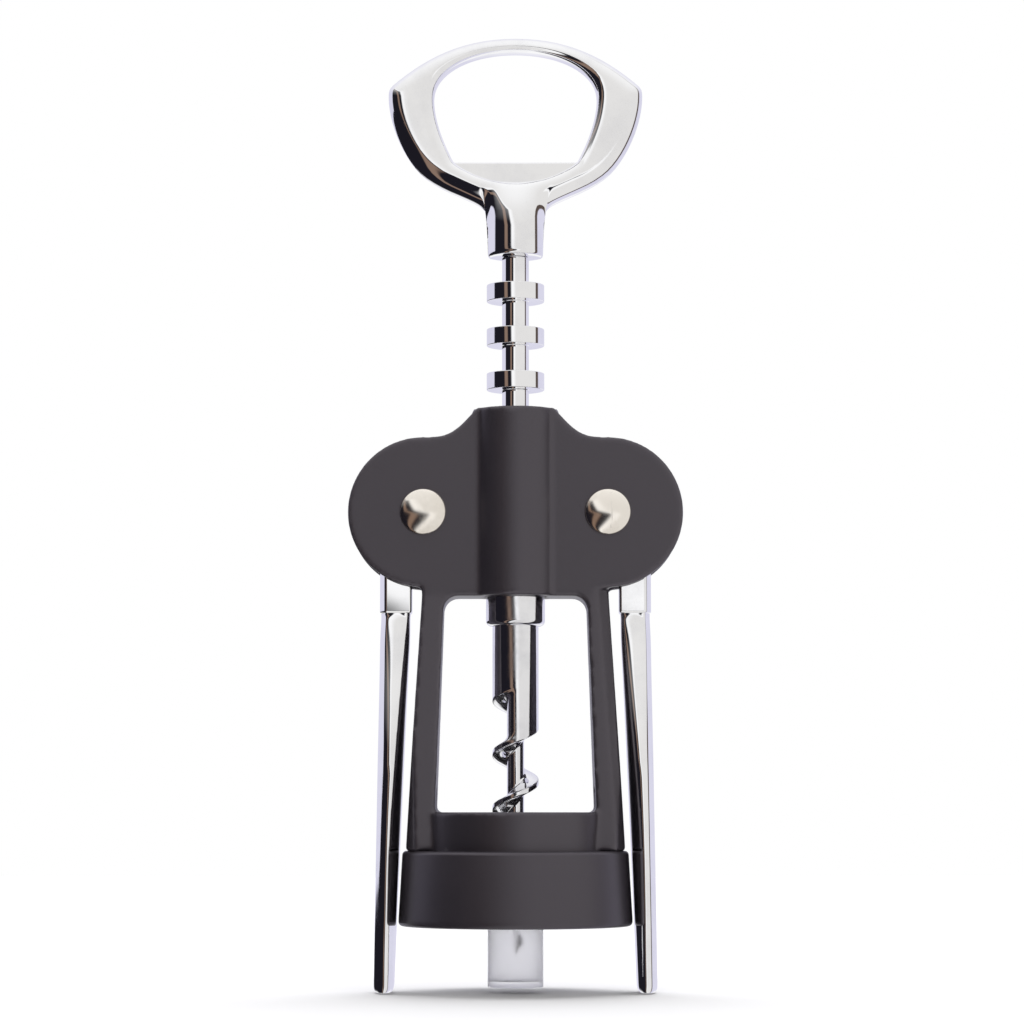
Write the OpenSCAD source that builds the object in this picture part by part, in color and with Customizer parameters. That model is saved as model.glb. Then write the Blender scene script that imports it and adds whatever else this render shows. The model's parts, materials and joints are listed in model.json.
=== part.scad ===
// Lever corkscrew: a geared pair of side levers lifts a ringed rack that carries the worm.
// Origin at the centre of the bell's mouth, +Z up towards the handle, +X to the right lever.

/* [Frame] */
// Height of the two lever pivots above the bell's mouth
pivot_z = 82; // [70:0.5:100]
// Height of the barrel's top above the pivots
barrel_rise = 20.9; // [19:0.1:26]
// Depth of the head's underside below the pivots
head_drop = 16.8; // [16:0.1:21]
// Thickness of one head plate
plate_t = 2.2; // [1.8:0.1:3]
// Gap between the two head plates
plate_gap = 6; // [4.5:0.1:8]
// Wall of the barrel round its bore
barrel_wall = 2.5; // [2:0.1:3.5]
// Width of a leg's foot, front to back
leg_foot_w = 21; // [16:0.5:24]

/* [Bell] */
// Thickness of the skirt at the mouth, outside the frame's ring
skirt_wall = 4.2; // [3:0.1:6]
// Height of the skirt
skirt_h = 14.8; // [12:0.1:18]
// Height of the ring above the skirt
band_h = 7.6; // [5:0.1:10]
// Wall of the frame's lower ring
ring_wall = 2; // [1.6:0.1:3]
// Radius inside the liner, round the bottle's lip
lip_bore_r = 15.6; // [13:0.1:16]
// Wall of the liner
liner_wall = 1.4; // [1:0.1:2]
// Depth of the lip seat above the mouth
seat_z = 12; // [9:0.1:13]

/* [Rack] */
// Distance from one ring to the next
ring_pitch = 9; // [7:0.1:11]
// Diameter of the rings
ring_d = 11.6; // [10:0.1:14]
// Thickness of a ring
ring_t = 3.4; // [2.5:0.1:3.8]
// Number of rings
ring_n = 7; // [7:1:8]
// Diameter of the rack between the rings
core_d = 5.4; // [5:0.1:6.5]
// Plain length of the rack above the top ring
rack_neck = 7.3; // [5:0.1:10]

/* [Spindle] */
// Diameter of the shaft inside the rack
shaft_d = 3.5; // [3:0.1:3.8]
// Diameter of the cross pins
pin_d = 1.6; // [1.2:0.1:2]
// Diameter of the collar under the rack
collar_d = 11.8; // [10:0.1:12]
// Length of the collar
collar_l = 10.8; // [9:0.1:14]
// Diameter of the worm's shank
shank_d = 9.1; // [8:0.1:10.5]
// Length of the plain shank
shank_l = 15; // [12:0.5:20]
// Outer diameter of the worm's flight
worm_d = 9.3; // [8:0.1:10]
// Diameter of the worm's core
worm_core_d = 3.4; // [2.8:0.1:4]
// Advance of the worm in one turn
worm_pitch = 10.9; // [8:0.1:13]
// Length of the worm below its shank
worm_l = 50.3; // [40:0.1:56]

/* [Handle] */
// Diameter of the handle's stem
stem_d = 11.2; // [10:0.1:12]
// Length of the stem
stem_l = 9.2; // [8:0.1:12]
// Thickness of the handle, front to back
handle_t = 6; // [5:0.1:8]
// Half width of the handle at its ears
ear_x = 25.8; // [21:0.1:30]
// Height of the handle's loop above its stem
loop_h = 36; // [30:0.5:43]
// Thickness of the cap lifter's lip
lip_t = 2.4; // [1.8:0.1:3]

/* [Levers] */
// Diameter of the pivot's post
post_d = 4.6; // [4:0.1:6]
// Thickness of the arm where it leaves the head
arm_top_w = 6.4; // [5:0.1:8]
// Thickness of the arm at its tip
arm_tip_w = 3.9; // [3:0.1:5]
// Width of the arm's paddle, front to back
paddle_w = 15; // [12:0.5:19]
// Drop of the arm's tip below the bell's mouth
arm_drop = 13; // [4:0.5:16]
// Diameter of the rivet heads
rivet_d = 9.2; // [7:0.1:11]

/* [Tip guard] */
// Outer diameter of the guard
guard_d = 11; // [10.8:0.1:13]
// Length of the guard
guard_l = 26; // [20:0.5:30]

/* [Hidden] */
$fn = 96;
eps = 0.01;
// Clearances
run_gap = 0.05; // running fit, in radius
free_gap = 0.4; // parts that pass each other, in radius
seat_gap = 0.02; // pressed sockets, in radius
guard_gap = 0.2; // worm inside its guard, in radius
lever_gap = 0.5; // lever beside the skirt
hub_gap = 0.2; // lever's hub beside each head plate
// Gear on each lever: ten teeth to a full turn, of which six are cut
gear_teeth = 10;
teeth_cut = 6;
ring_phase = -0.3; // the second ring's height from the pivots
addendum = 1.72;
pitch_r = ring_pitch * gear_teeth / (2 * PI);
pitch_x = ring_d / 2 - addendum;
pivot_x = pitch_x + pitch_r;
root_r = pivot_x - ring_d / 2 - 0.4;
tip_r = pitch_r + 0.4;
tooth_root_w = (ring_pitch - ring_t) * 0.86;
tooth_tip_w = (ring_pitch - ring_t) * 0.38;
// Head
frame_t = 2 * plate_t + plate_gap;
lobe_r = tip_r + 0.3;
bore_r = max(ring_d, collar_d, stem_d) / 2 + free_gap;
barrel_r = bore_r + barrel_wall;
barrel_top = pivot_z + barrel_rise;
head_z = pivot_z - head_drop;
shoulder_x = barrel_r - 1.2;
leg_in_top = pivot_x - 4.2;
leg_out_top = pivot_x + 0.2;
corner_r = 2.8;
// Bell
liner_r = lip_bore_r + liner_wall;
ring_r = liner_r + ring_wall;
skirt_r = ring_r + skirt_wall;
band_top = skirt_h + band_h;
leg_in_foot = liner_r - 0.9;
leg_out_foot = skirt_r - 1.55;
spigot_z = 3;
seat_hole_r = lip_bore_r - 2.6;
seat_t = 2.4;
// Rack and spindle
top_ring_z = pivot_z + ring_phase + ring_pitch * (ring_n - 2);
rack_z0 = pivot_z + ring_phase - ring_pitch - ring_t / 2 - 0.8;
rack_z1 = top_ring_z + rack_neck;
collar_z0 = rack_z0 - collar_l;
shank_z0 = collar_z0 - shank_l;
worm_tip_z = shank_z0 - worm_l;
shaft_z1 = rack_z1 + 6.5;
shaft_z0 = collar_z0 - 7;
handle_pin_z = rack_z1 + 3.8;
collar_pin_z = rack_z0 - 3.4;
flight_steps = 28;
flight_start = 231.5; // turn of the flight at its top, from +X towards +Y
// Handle, as heights above the stem
stem_z1 = rack_z1 + stem_l;
hole_x = ear_x * 0.667;
band_top_t = 2.4;
flare_h = 1.9;
lip_h = 0.285 * loop_h;
crescent_h = 3.8;
lip_x = ear_x * 0.488;
// Levers
hub_t = plate_gap - 2 * hub_gap;
arm_z0 = pivot_z - lobe_r - 5;
arm_z1 = -arm_drop;
arm_in_top = pivot_x + 2.3;
arm_in_tip = skirt_r + lever_gap + 0.4;
post_gap = 0.05;
head_h = 1.5;
// Guard
guard_z0 = worm_tip_z - 6.1;
guard_floor = 1.2;

// Points of a cubic curve from a to d, without its first point
function curve(a, b, c, d, n = 8) = [for (i = [1:n]) let (t = i / n, s = 1 - t)
    s * s * s * a + 3 * s * s * t * b + 3 * s * t * t * c + t * t * t * d];
// The same outline mirrored about the vertical axis, closed
function both_sides(half) = concat(half, [for (i = [len(half) - 1:-1:0]) [-half[i].x, half[i].y]]);
function mix(a, b, t) = a + (b - a) * t;
function ease(t) = let (s = max(0, min(1, t))) s * s * (3 - 2 * s);

// An outline in X and Z, given a thickness about Y = 0
module upright(t) rotate([90, 0, 0]) linear_extrude(t, center = true) children();

// A solid through a list of closed loops that each have the same number of points
module loft(loops) {
    n = len(loops[0]);
    m = len(loops);
    sides = [for (j = [0:m - 2], i = [0:n - 1]) let (k = (i + 1) % n, a = j * n, b = a + n)
        each [[a + i, b + i, b + k], [a + i, b + k, a + k]]];
    first = [[for (i = [0:n - 1]) i]];
    last = [[for (i = [n - 1:-1:0]) (m - 1) * n + i]];
    polyhedron([for (l = loops) each l], concat(first, sides, last), convexity = 6);
}

// ---- Frame ----
// Half of the head's outline: down from the shoulder, round the lobe, to the underside
module head_outline() {
    shoulder = [[0, barrel_top], [shoulder_x, barrel_top]];
    sweep_end = [pivot_x - 1.2, pivot_z + lobe_r - 0.02];
    sweep = curve([shoulder_x, barrel_top], [shoulder_x + 3.4, barrel_top - 3.4],
        [shoulder_x + 4.6, sweep_end.y], sweep_end);
    half = concat(shoulder, sweep, [[pivot_x, pivot_z], [pivot_x, head_z], [0, head_z]]);
    polygon(both_sides(half));
    for (s = [-1, 1]) translate([s * pivot_x, pivot_z]) circle(lobe_r);
}

// One leg and its top corner, seen from the front
module leg_outline() {
    foot = spigot_z;
    z0 = skirt_h;
    slope_in = (leg_in_foot - leg_in_top) / (head_z - z0);
    polygon([[leg_in_top, head_z + 3], [leg_out_top, head_z + 3], [leg_out_top, head_z],
        [leg_out_foot, z0], [leg_in_foot, z0], [leg_in_top, head_z]]);
    difference() {
        translate([leg_in_top - corner_r, head_z - corner_r]) square([corner_r + 1, corner_r + 1]);
        translate([leg_in_top - corner_r + slope_in * corner_r, head_z - corner_r]) circle(corner_r);
        translate([leg_in_top - corner_r - 1, head_z - 2 * corner_r])
            square([1, 3 * corner_r]);
    }
}

// The leg seen from the side: it widens from the head down to the ring
module leg_side() {
    polygon([[-frame_t / 2, head_z + 3], [frame_t / 2, head_z + 3], [frame_t / 2, head_z],
        [leg_foot_w / 2, skirt_h], [-leg_foot_w / 2, skirt_h], [-frame_t / 2, head_z]]);
}

module legs() {
    for (s = [0, 1]) mirror([s, 0, 0]) intersection() {
        upright(2 * skirt_r) leg_outline();
        rotate([0, 0, 90]) upright(3 * skirt_r) leg_side();
        cylinder(h = barrel_top, r1 = leg_out_foot + 0.1 + skirt_h * (leg_out_foot - leg_out_top)
            / (head_z - skirt_h), r2 = leg_out_top + 1.6);
    }
}

module frame_casting() color("#48444a") {
    difference() {
        union() {
            upright(frame_t) head_outline();
            translate([0, 0, head_z]) cylinder(h = barrel_top - head_z, r = barrel_r);
            legs();
            translate([0, 0, spigot_z]) cylinder(h = band_top - spigot_z, r = ring_r);
        }
        // bore for the rack, and the inside of the ring
        translate([0, 0, head_z - 1]) cylinder(h = barrel_top - head_z + 2, r = bore_r);
        translate([0, 0, spigot_z - 1]) cylinder(h = band_top - spigot_z + 6, r = liner_r);
        for (s = [-1, 1]) translate([s * pivot_x, 0, pivot_z]) rotate([90, 0, 0]) {
            // pocket between the plates, open outwards and into the bore
            cylinder(h = plate_gap, r = lobe_r + 0.5, center = true);
            // hole for the pivot's post
            cylinder(h = frame_t + 2, d = post_d + 2 * seat_gap, center = true);
        }
    }
}

module bell_skirt() color("#454148") difference() {
    rotate_extrude() polygon(concat(
        [[liner_r, 0], [skirt_r - 0.8, 0]],
        curve([skirt_r - 0.8, 0], [skirt_r - 0.3, 0], [skirt_r, 0.3], [skirt_r, 0.8], 4),
        [[skirt_r - 0.75, skirt_h - 1.4]],
        curve([skirt_r - 0.75, skirt_h - 1.4], [skirt_r - 0.8, skirt_h - 0.6],
            [skirt_r - 1.0, skirt_h - 0.1], [leg_out_foot, skirt_h], 5),
        [[ring_r, skirt_h], [ring_r, spigot_z], [liner_r, spigot_z]]));
}

module neck_liner() color("#2c2b2e") rotate_extrude() polygon([
    [lip_bore_r + 0.9, 0.4], [liner_r, 0.4], [liner_r, band_top - 1.4],
    [seat_hole_r + 1, band_top - 1.4], [seat_hole_r + 1, seat_z + seat_t],
    [seat_hole_r, seat_z + seat_t - 0.6], [seat_hole_r, seat_z], [lip_bore_r, seat_z],
    [lip_bore_r, 2.2]]);

// ---- Rack and spindle ----
module rack_sleeve() color("#d5d6d9") {
    difference() {
        rotate_extrude() polygon(concat(
            [[0, rack_z0], [ring_d / 2 - 1, rack_z0], [core_d / 2, rack_z0 + 0.5]],
            [for (i = [0:ring_n - 1]) let (z = pivot_z + ring_phase + ring_pitch * (i - 1),
                h = ring_t / 2, r = ring_d / 2, b = 0.6)
                each [[core_d / 2, z - h], [r - b, z - h], [r, z - h + b], [r, z + h - b],
                    [r - b, z + h], [core_d / 2, z + h]]],
            [[core_d / 2, rack_z1], [0, rack_z1]]));
        translate([0, 0, rack_z0 - 1])
            cylinder(h = rack_z1 - rack_z0 + 2, r = shaft_d / 2 + run_gap);
    }
}

module cross_pin(z, l) translate([0, 0, z]) rotate([0, 90, 0])
    cylinder(h = l, d = pin_d, center = true);
module cross_hole(z, l) translate([0, 0, z]) rotate([0, 90, 0])
    cylinder(h = l, r = pin_d / 2 + seat_gap, center = true);

module spindle_shaft() color("#aeb0b4") difference() {
    translate([0, 0, shaft_z0]) cylinder(h = shaft_z1 - shaft_z0, d = shaft_d);
    cross_hole(handle_pin_z, 2 * shaft_d);
    cross_hole(collar_pin_z, 2 * shaft_d);
}

module handle_pin() color("#9c9ea2") cross_pin(handle_pin_z, stem_d - 0.6);
module collar_pin() color("#9c9ea2") cross_pin(collar_pin_z, collar_d - 0.6);

module worm_collar() color("#d0d1d5") difference() {
    rotate_extrude() polygon([[0, collar_z0], [collar_d / 2 - 0.7, collar_z0],
        [collar_d / 2, collar_z0 + 0.7], [collar_d / 2, rack_z0 - 0.4],
        [collar_d / 2 - 0.4, rack_z0], [0, rack_z0]]);
    translate([0, 0, collar_z0 - 1]) cylinder(h = collar_l + 2, r = shaft_d / 2 + seat_gap);
    cross_hole(collar_pin_z, collar_d + 2);
}

// One cross-section of the flight: a ridge that stands on the core and thins to an edge
function flight_loop(a, z, r, core) = [for (p = [[core * 0.5, -2.1], [r * 0.72, -1.0],
    [r, -0.3], [r, 0.3], [r * 0.72, 1.0], [core * 0.5, 2.1]]) [p.x * cos(a), p.x * sin(a), z + p.y]];

module worm() color("#c6c8cc") {
    taper = 1.1 * worm_pitch;
    flight_z1 = shank_z0 + 2;
    flight_z0 = worm_tip_z + 2.6;
    turns = (flight_z1 - flight_z0) / worm_pitch;
    n = ceil(turns * flight_steps);
    core_r = worm_core_d / 2;
    difference() {
        union() {
            translate([0, 0, shank_z0]) cylinder(h = shank_l, d = shank_d);
            translate([0, 0, shank_z0 - 1.6])
                cylinder(h = 1.6, r1 = worm_core_d / 2 + 0.8, r2 = shank_d / 2);
            translate([0, 0, worm_tip_z + taper])
                cylinder(h = worm_l - taper, r = core_r);
            translate([0, 0, worm_tip_z]) cylinder(h = taper, r1 = 0.25, r2 = core_r);
            loft([for (i = [0:n]) let (u = i / n, z = mix(flight_z1, flight_z0, u),
                k = min(1, max(0.12, (z - worm_tip_z) / taper)))
                flight_loop(flight_start - 360 * turns * u, z, mix(0.9, worm_d / 2, k), core_r * k)]);
        }
        translate([0, 0, shaft_z0]) cylinder(h = 20, r = shaft_d / 2 + seat_gap);
    }
}

module tip_guard() color("#e6e8ec", 0.6) {
    bore = worm_d / 2 + guard_gap;
    r = max(guard_d / 2, bore + 0.6);
    difference() {
        rotate_extrude() polygon([[0, guard_z0], [r - 0.7, guard_z0], [r, guard_z0 + 0.7],
            [r, guard_z0 + guard_l], [0, guard_z0 + guard_l]]);
        translate([0, 0, guard_z0 + guard_floor]) cylinder(h = guard_l, r = bore);
    }
}

// ---- Handle with its cap lifter ----
module loop_outline() {
    z0 = stem_z1;
    top = z0 + loop_h;
    k = loop_h;
    polygon(both_sides(concat(
        [[0, top]],
        curve([0, top], [ear_x * 0.43, top], [ear_x * 0.72, top - 0.117 * k],
            [ear_x * 0.975, top - 0.275 * k]),
        curve([ear_x * 0.975, top - 0.275 * k], [ear_x, top - 0.295 * k],
            [ear_x, top - 0.31 * k], [ear_x, top - 0.34 * k], 4),
        curve([ear_x, top - 0.34 * k], [ear_x, top - 0.465 * k],
            [ear_x * 0.905, top - 0.66 * k], [ear_x * 0.75, z0 + 0.225 * k]),
        curve([ear_x * 0.75, z0 + 0.225 * k], [ear_x * 0.65, z0 + 0.15 * k],
            [ear_x * 0.45, z0 + 0.095 * k], [stem_d / 2 + flare_h, z0 + 0.045 * k]),
        curve([stem_d / 2 + flare_h, z0 + 0.045 * k], [stem_d / 2 + 0.8, z0 + 0.03 * k],
            [stem_d / 2, z0], [stem_d / 2 - 0.2, z0 - 1.6], 4),
        [[0, z0 - 1.6]])));
}

module hole_outline() {
    z0 = stem_z1;
    top = z0 + loop_h - band_top_t;
    lip_z = z0 + lip_h;
    wide_z = z0 + 0.65 * loop_h;
    polygon(both_sides(concat(
        [[0, top]],
        curve([0, top], [hole_x * 0.56, top], [hole_x, mix(wide_z, top, 0.6)], [hole_x, wide_z]),
        curve([hole_x, wide_z], [hole_x, mix(lip_z, wide_z, 0.6)],
            [hole_x * 0.84, mix(lip_z, wide_z, 0.2)], [lip_x, lip_z]),
        curve([lip_x, lip_z], [lip_x * 0.72, lip_z - crescent_h * 0.72],
            [lip_x * 0.36, lip_z - crescent_h], [0, lip_z - crescent_h]))));
}

module opener_handle() color("#dcdde0") difference() {
    union() {
        difference() {
            upright(handle_t) loop_outline();
            upright(handle_t + 2) hole_outline();
        }
        // cap lifter's lip, thinner than the loop, along the bottom of the hole
        upright(lip_t) intersection() {
            loop_outline();
            translate([-ear_x, stem_z1 + 1]) square([2 * ear_x, lip_h - 1]);
        }
        translate([0, 0, rack_z1]) cylinder(h = stem_l, d = stem_d);
        translate([0, 0, stem_z1]) cylinder(h = 3.4, r1 = stem_d / 2, r2 = handle_t / 2);
    }
    translate([0, 0, rack_z1 - 1]) cylinder(h = shaft_z1 - rack_z1 + 1, r = shaft_d / 2 + seat_gap);
    cross_hole(handle_pin_z, stem_d + 2);
}

// ---- Levers ----
// One cross-section of the arm: pointed front and back, broadest across the middle
function arm_loop(u) = let (
    z = mix(arm_z0, arm_z1, u),
    x_in = mix(arm_in_top, arm_in_tip, pow(u, 0.85)),
    w = mix(arm_top_w, arm_tip_w, pow(u, 0.7)),
    d = mix(hub_t / 2, paddle_w / 2, ease(u / 0.42)) - 0.9 * ease((u - 0.8) / 0.2),
    flat = mix(0.37, 0.1, ease(u / 0.5)) * w,
    mid = x_in + w / 2)
    [[mid - flat, -d, z], [mid + flat, -d, z], [mid + w * 0.42, -d * 0.72, z],
        [x_in + w, -d * 0.3, z], [x_in + w, d * 0.3, z], [mid + w * 0.42, d * 0.72, z],
        [mid + flat, d, z], [mid - flat, d, z], [mid - w * 0.42, d * 0.72, z],
        [x_in, d * 0.3, z], [x_in, -d * 0.3, z], [mid - w * 0.42, -d * 0.72, z]];

// The right lever's flat hub and gear, seen from the front, about the pivot
module hub_outline() {
    circle(root_r);
    for (i = [0:teeth_cut - 1]) let (a = 180 * ring_phase / pitch_r / PI + 360 / gear_teeth * (i - 0.5))
        rotate(180 - a) polygon([[root_r - 1, -tooth_root_w / 2], [root_r, -tooth_root_w / 2],
            [tip_r, -tooth_tip_w / 2], [tip_r, tooth_tip_w / 2], [root_r, tooth_root_w / 2],
            [root_r - 1, tooth_root_w / 2]]);
    arm_x = arm_in_top - pivot_x;
    z1 = arm_z0 - pivot_z;
    polygon([[arm_x, z1], [arm_x + arm_top_w, z1], [arm_x + arm_top_w, -5], [arm_x, -5]]);
}

module lever() difference() {
    union() {
        translate([pivot_x, 0, pivot_z]) upright(hub_t) hub_outline();
        loft([for (i = [16:-1:0]) arm_loop(i / 16)]);
    }
    translate([pivot_x, 0, pivot_z]) rotate([90, 0, 0])
        cylinder(h = hub_t + 2, r = post_d / 2 + post_gap, center = true);
}

module right_lever() color("#d9dade") lever();
module left_lever() color("#d9dade") mirror([1, 0, 0]) lever();

// Two-part rivet: a post with a domed head in front, and a cap pressed in from behind
module domed_head() rotate_extrude() polygon(concat([[0, 0]],
    [[rivet_d / 2, 0], [rivet_d / 2, 0.35]],
    curve([rivet_d / 2, 0.35], [rivet_d / 4, head_h * 0.85], [rivet_d / 8, head_h], [0, head_h], 6)));

module rivet_post(s) translate([s * pivot_x, 0, pivot_z]) rotate([90, 0, 0]) difference() {
    union() {
        translate([0, 0, frame_t / 2]) domed_head();
        translate([0, 0, -frame_t / 2]) cylinder(h = frame_t, d = post_d);
    }
    translate([0, 0, -frame_t / 2 - 1]) cylinder(h = 5, r = post_d / 4);
}

module rivet_cap(s) translate([s * pivot_x, 0, pivot_z]) rotate([-90, 0, 0]) {
    translate([0, 0, frame_t / 2]) domed_head();
    translate([0, 0, frame_t / 2 - 3.6]) cylinder(h = 3.7, r = post_d / 4 - seat_gap);
}

module left_rivet() color("#cfc9bf") rivet_post(-1);
module right_rivet() color("#cfc9bf") rivet_post(1);
module left_rivet_cap() color("#cfc9bf") rivet_cap(-1);
module right_rivet_cap() color("#cfc9bf") rivet_cap(1);

frame_casting();
bell_skirt();
neck_liner();
rack_sleeve();
spindle_shaft();
opener_handle();
handle_pin();
worm_collar();
collar_pin();
worm();
tip_guard();
left_lever();
right_lever();
left_rivet();
right_rivet();
left_rivet_cap();
right_rivet_cap();
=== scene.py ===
# Lever corkscrew with a bottle opener handle: satin black frame, chromed levers, rack, worm and handle
import json
import math

import bpy
from mathutils import Matrix, Vector


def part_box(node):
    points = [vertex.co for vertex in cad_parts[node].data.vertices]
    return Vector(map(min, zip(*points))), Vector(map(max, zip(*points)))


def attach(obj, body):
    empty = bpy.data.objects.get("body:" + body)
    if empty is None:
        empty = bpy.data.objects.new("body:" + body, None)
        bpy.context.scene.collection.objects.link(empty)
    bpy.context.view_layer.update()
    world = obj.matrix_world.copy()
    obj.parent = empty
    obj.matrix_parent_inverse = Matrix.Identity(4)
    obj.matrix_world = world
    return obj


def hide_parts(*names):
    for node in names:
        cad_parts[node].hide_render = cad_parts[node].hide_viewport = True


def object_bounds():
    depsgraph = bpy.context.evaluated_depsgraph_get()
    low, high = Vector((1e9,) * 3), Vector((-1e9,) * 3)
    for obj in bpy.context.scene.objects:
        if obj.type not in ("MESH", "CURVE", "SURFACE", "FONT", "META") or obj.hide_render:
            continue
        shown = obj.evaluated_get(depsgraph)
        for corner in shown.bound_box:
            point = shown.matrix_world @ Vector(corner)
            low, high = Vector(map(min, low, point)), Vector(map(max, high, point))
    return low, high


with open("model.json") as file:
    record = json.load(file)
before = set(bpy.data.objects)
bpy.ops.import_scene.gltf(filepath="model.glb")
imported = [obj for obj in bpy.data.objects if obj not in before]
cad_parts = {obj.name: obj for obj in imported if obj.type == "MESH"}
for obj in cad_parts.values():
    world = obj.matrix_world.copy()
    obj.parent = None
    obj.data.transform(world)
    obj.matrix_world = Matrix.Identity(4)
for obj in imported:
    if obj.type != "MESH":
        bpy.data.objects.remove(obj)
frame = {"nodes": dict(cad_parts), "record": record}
cadLow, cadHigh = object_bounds()
nodes = frame["nodes"]
mm = 0.001


# ---- helpers for modelling; every size here is in millimetres ----

def boxOf(node):
    low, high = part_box(node)
    return Vector(low) / mm, Vector(high) / mm


def only(piece):
    bpy.ops.object.select_all(action="DESELECT")
    piece.select_set(True)
    bpy.context.view_layer.objects.active = piece


def editAll(piece):
    only(piece)
    bpy.ops.object.mode_set(mode="EDIT")
    bpy.ops.mesh.select_all(action="SELECT")


def closeUp(piece):
    # joins what coincides, closes open ends and turns every face outwards
    editAll(piece)
    bpy.ops.mesh.remove_doubles(threshold=0.0005 * mm)
    bpy.ops.mesh.select_all(action="DESELECT")
    bpy.ops.mesh.select_non_manifold(extend=False, use_wire=False, use_multi_face=False,
                                     use_non_contiguous=False, use_verts=False)
    bpy.ops.mesh.fill_holes(sides=0)
    bpy.ops.mesh.select_all(action="SELECT")
    bpy.ops.mesh.normals_make_consistent(inside=False)
    bpy.ops.object.mode_set(mode="OBJECT")


def modify(piece, kind, **settings):
    only(piece)
    modifier = piece.modifiers.new(kind.lower(), kind)
    for key, value in settings.items():
        setattr(modifier, key, value)
    bpy.ops.object.modifier_apply(modifier=modifier.name)


def roundEdges(piece, width, segments, angle):
    modify(piece, "BEVEL", width=width * mm, segments=segments, limit_method="ANGLE",
           angle_limit=math.radians(angle), use_clamp_overlap=True, harden_normals=False)


def cutWith(piece, cutter):
    modify(piece, "BOOLEAN", object=cutter, operation="DIFFERENCE", solver="EXACT")
    bpy.data.objects.remove(cutter)


def joinTo(piece, *others):
    only(piece)
    for other in others:
        other.select_set(True)
    bpy.ops.object.join()


def drawLine(name, points, fill=False):
    # one vertex, extruded from point to point
    bpy.ops.object.select_all(action="DESELECT")
    bpy.ops.mesh.primitive_plane_add(size=mm)
    piece = bpy.context.object
    piece.name = name
    bpy.ops.object.mode_set(mode="EDIT")
    bpy.ops.mesh.merge(type="CENTER")
    bpy.ops.transform.translate(value=Vector(points[0]) * mm)
    for a, b in zip(points, points[1:]):
        step = (Vector(b) - Vector(a)) * mm
        bpy.ops.mesh.extrude_vertices_move(TRANSFORM_OT_translate={"value": step})
    if fill:
        bpy.ops.mesh.select_all(action="SELECT")
        bpy.ops.mesh.edge_face_add()
    bpy.ops.object.mode_set(mode="OBJECT")
    return piece


def spinProfile(name, profile, steps, closed=False):
    # profile holds radius and height, turned about the spindle's axis
    points = [(r, 0, z) for r, z in profile]
    if closed:
        points.append(points[0])
    piece = drawLine(name, points)
    editAll(piece)
    bpy.ops.mesh.spin(steps=steps, angle=2 * math.pi, center=(0, 0, 0), axis=(0, 0, 1))
    bpy.ops.object.mode_set(mode="OBJECT")
    closeUp(piece)
    return piece


def rollGrid(name, across, along, place):
    # a grid rolled into a tube or ring: place(u, v) gives each vertex for u and v from 0 to 1
    bpy.ops.object.select_all(action="DESELECT")
    bpy.ops.mesh.primitive_grid_add(x_subdivisions=across, y_subdivisions=along, size=mm)
    piece = bpy.context.object
    piece.name = name
    for vertex in piece.data.vertices:
        row, column = divmod(vertex.index, across + 1)
        vertex.co = Vector(place(column / across, row / along)) * mm
    closeUp(piece)
    return piece


def copyOfNode(node, name):
    only(nodes[node])
    bpy.ops.object.duplicate()
    piece = bpy.context.object
    piece.name = name
    piece.parent = None
    for key in list(piece.keys()):
        del piece[key]
    piece.hide_render = False
    editAll(piece)
    bpy.ops.mesh.remove_doubles(threshold=0.001 * mm)
    bpy.ops.mesh.tris_convert_to_quads()
    bpy.ops.object.mode_set(mode="OBJECT")
    return piece


def addBlock(name, size):
    bpy.ops.object.select_all(action="DESELECT")
    bpy.ops.mesh.primitive_cube_add(size=1)
    block = bpy.context.object
    block.name = name
    block.scale = Vector(size) * mm
    bpy.ops.object.transform_apply(location=True, rotation=True, scale=True)
    return block


def mirrorCopy(piece, name):
    only(piece)
    bpy.ops.object.duplicate()
    twin = bpy.context.object
    twin.name = name
    editAll(twin)
    bpy.ops.transform.resize(value=(-1, 1, 1), center_override=(0, 0, 0))
    bpy.ops.mesh.normals_make_consistent(inside=False)
    bpy.ops.object.mode_set(mode="OBJECT")
    return twin


def bezier(a, b, c, d, n):
    # n points of a cubic curve from a to d, without the first
    points = []
    for i in range(1, n + 1):
        t = i / n
        s = 1 - t
        w = (s ** 3, 3 * s * s * t, 3 * s * t * t, t ** 3)
        points.append(tuple(sum(share * p[axis] for share, p in zip(w, (a, b, c, d)))
                            for axis in (0, 1)))
    return points


def mix(a, b, t):
    return a + (b - a) * t


def ease(t):
    t = min(1, max(0, t))
    return t * t * (3 - 2 * t)


def finishPiece(piece, node, body, slot, angle):
    only(piece)
    bpy.ops.object.transform_apply(location=True, rotation=True, scale=True)
    bpy.ops.object.shade_smooth_by_angle(angle=math.radians(angle))
    modify(piece, "WEIGHTED_NORMAL", keep_sharp=True, weight=90)
    piece.data.materials.clear()
    piece.data.materials.append(finishes[slot])
    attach(piece, body)
    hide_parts(node)
    print("made", piece.name, len(piece.data.polygons), "faces")


# ---- shader helpers ----

def addNode(tree, kind, place=(0, 0), **values):
    node = tree.nodes.new(kind)
    node.location = place
    for key, value in values.items():
        setattr(node, key, value)
    return node


def mathNode(tree, operation, first, second=None, third=None):
    node = addNode(tree, "ShaderNodeMath", operation=operation)
    for socket, value in zip(node.inputs, (first, second, third)):
        if isinstance(value, (int, float)):
            socket.default_value = value
        elif value is not None:
            tree.links.new(value, socket)
    return node.outputs[0]


def rampNode(tree, source, stops):
    node = addNode(tree, "ShaderNodeValToRGB")
    elements = node.color_ramp.elements
    while len(elements) < len(stops):
        elements.new(0.5)
    for element, (position, colour) in zip(elements, stops):
        element.position = position
        element.color = (*colour, 1) if isinstance(colour, tuple) else (colour, colour, colour, 1)
    tree.links.new(source, node.inputs[0])
    return node.outputs[0]


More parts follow.
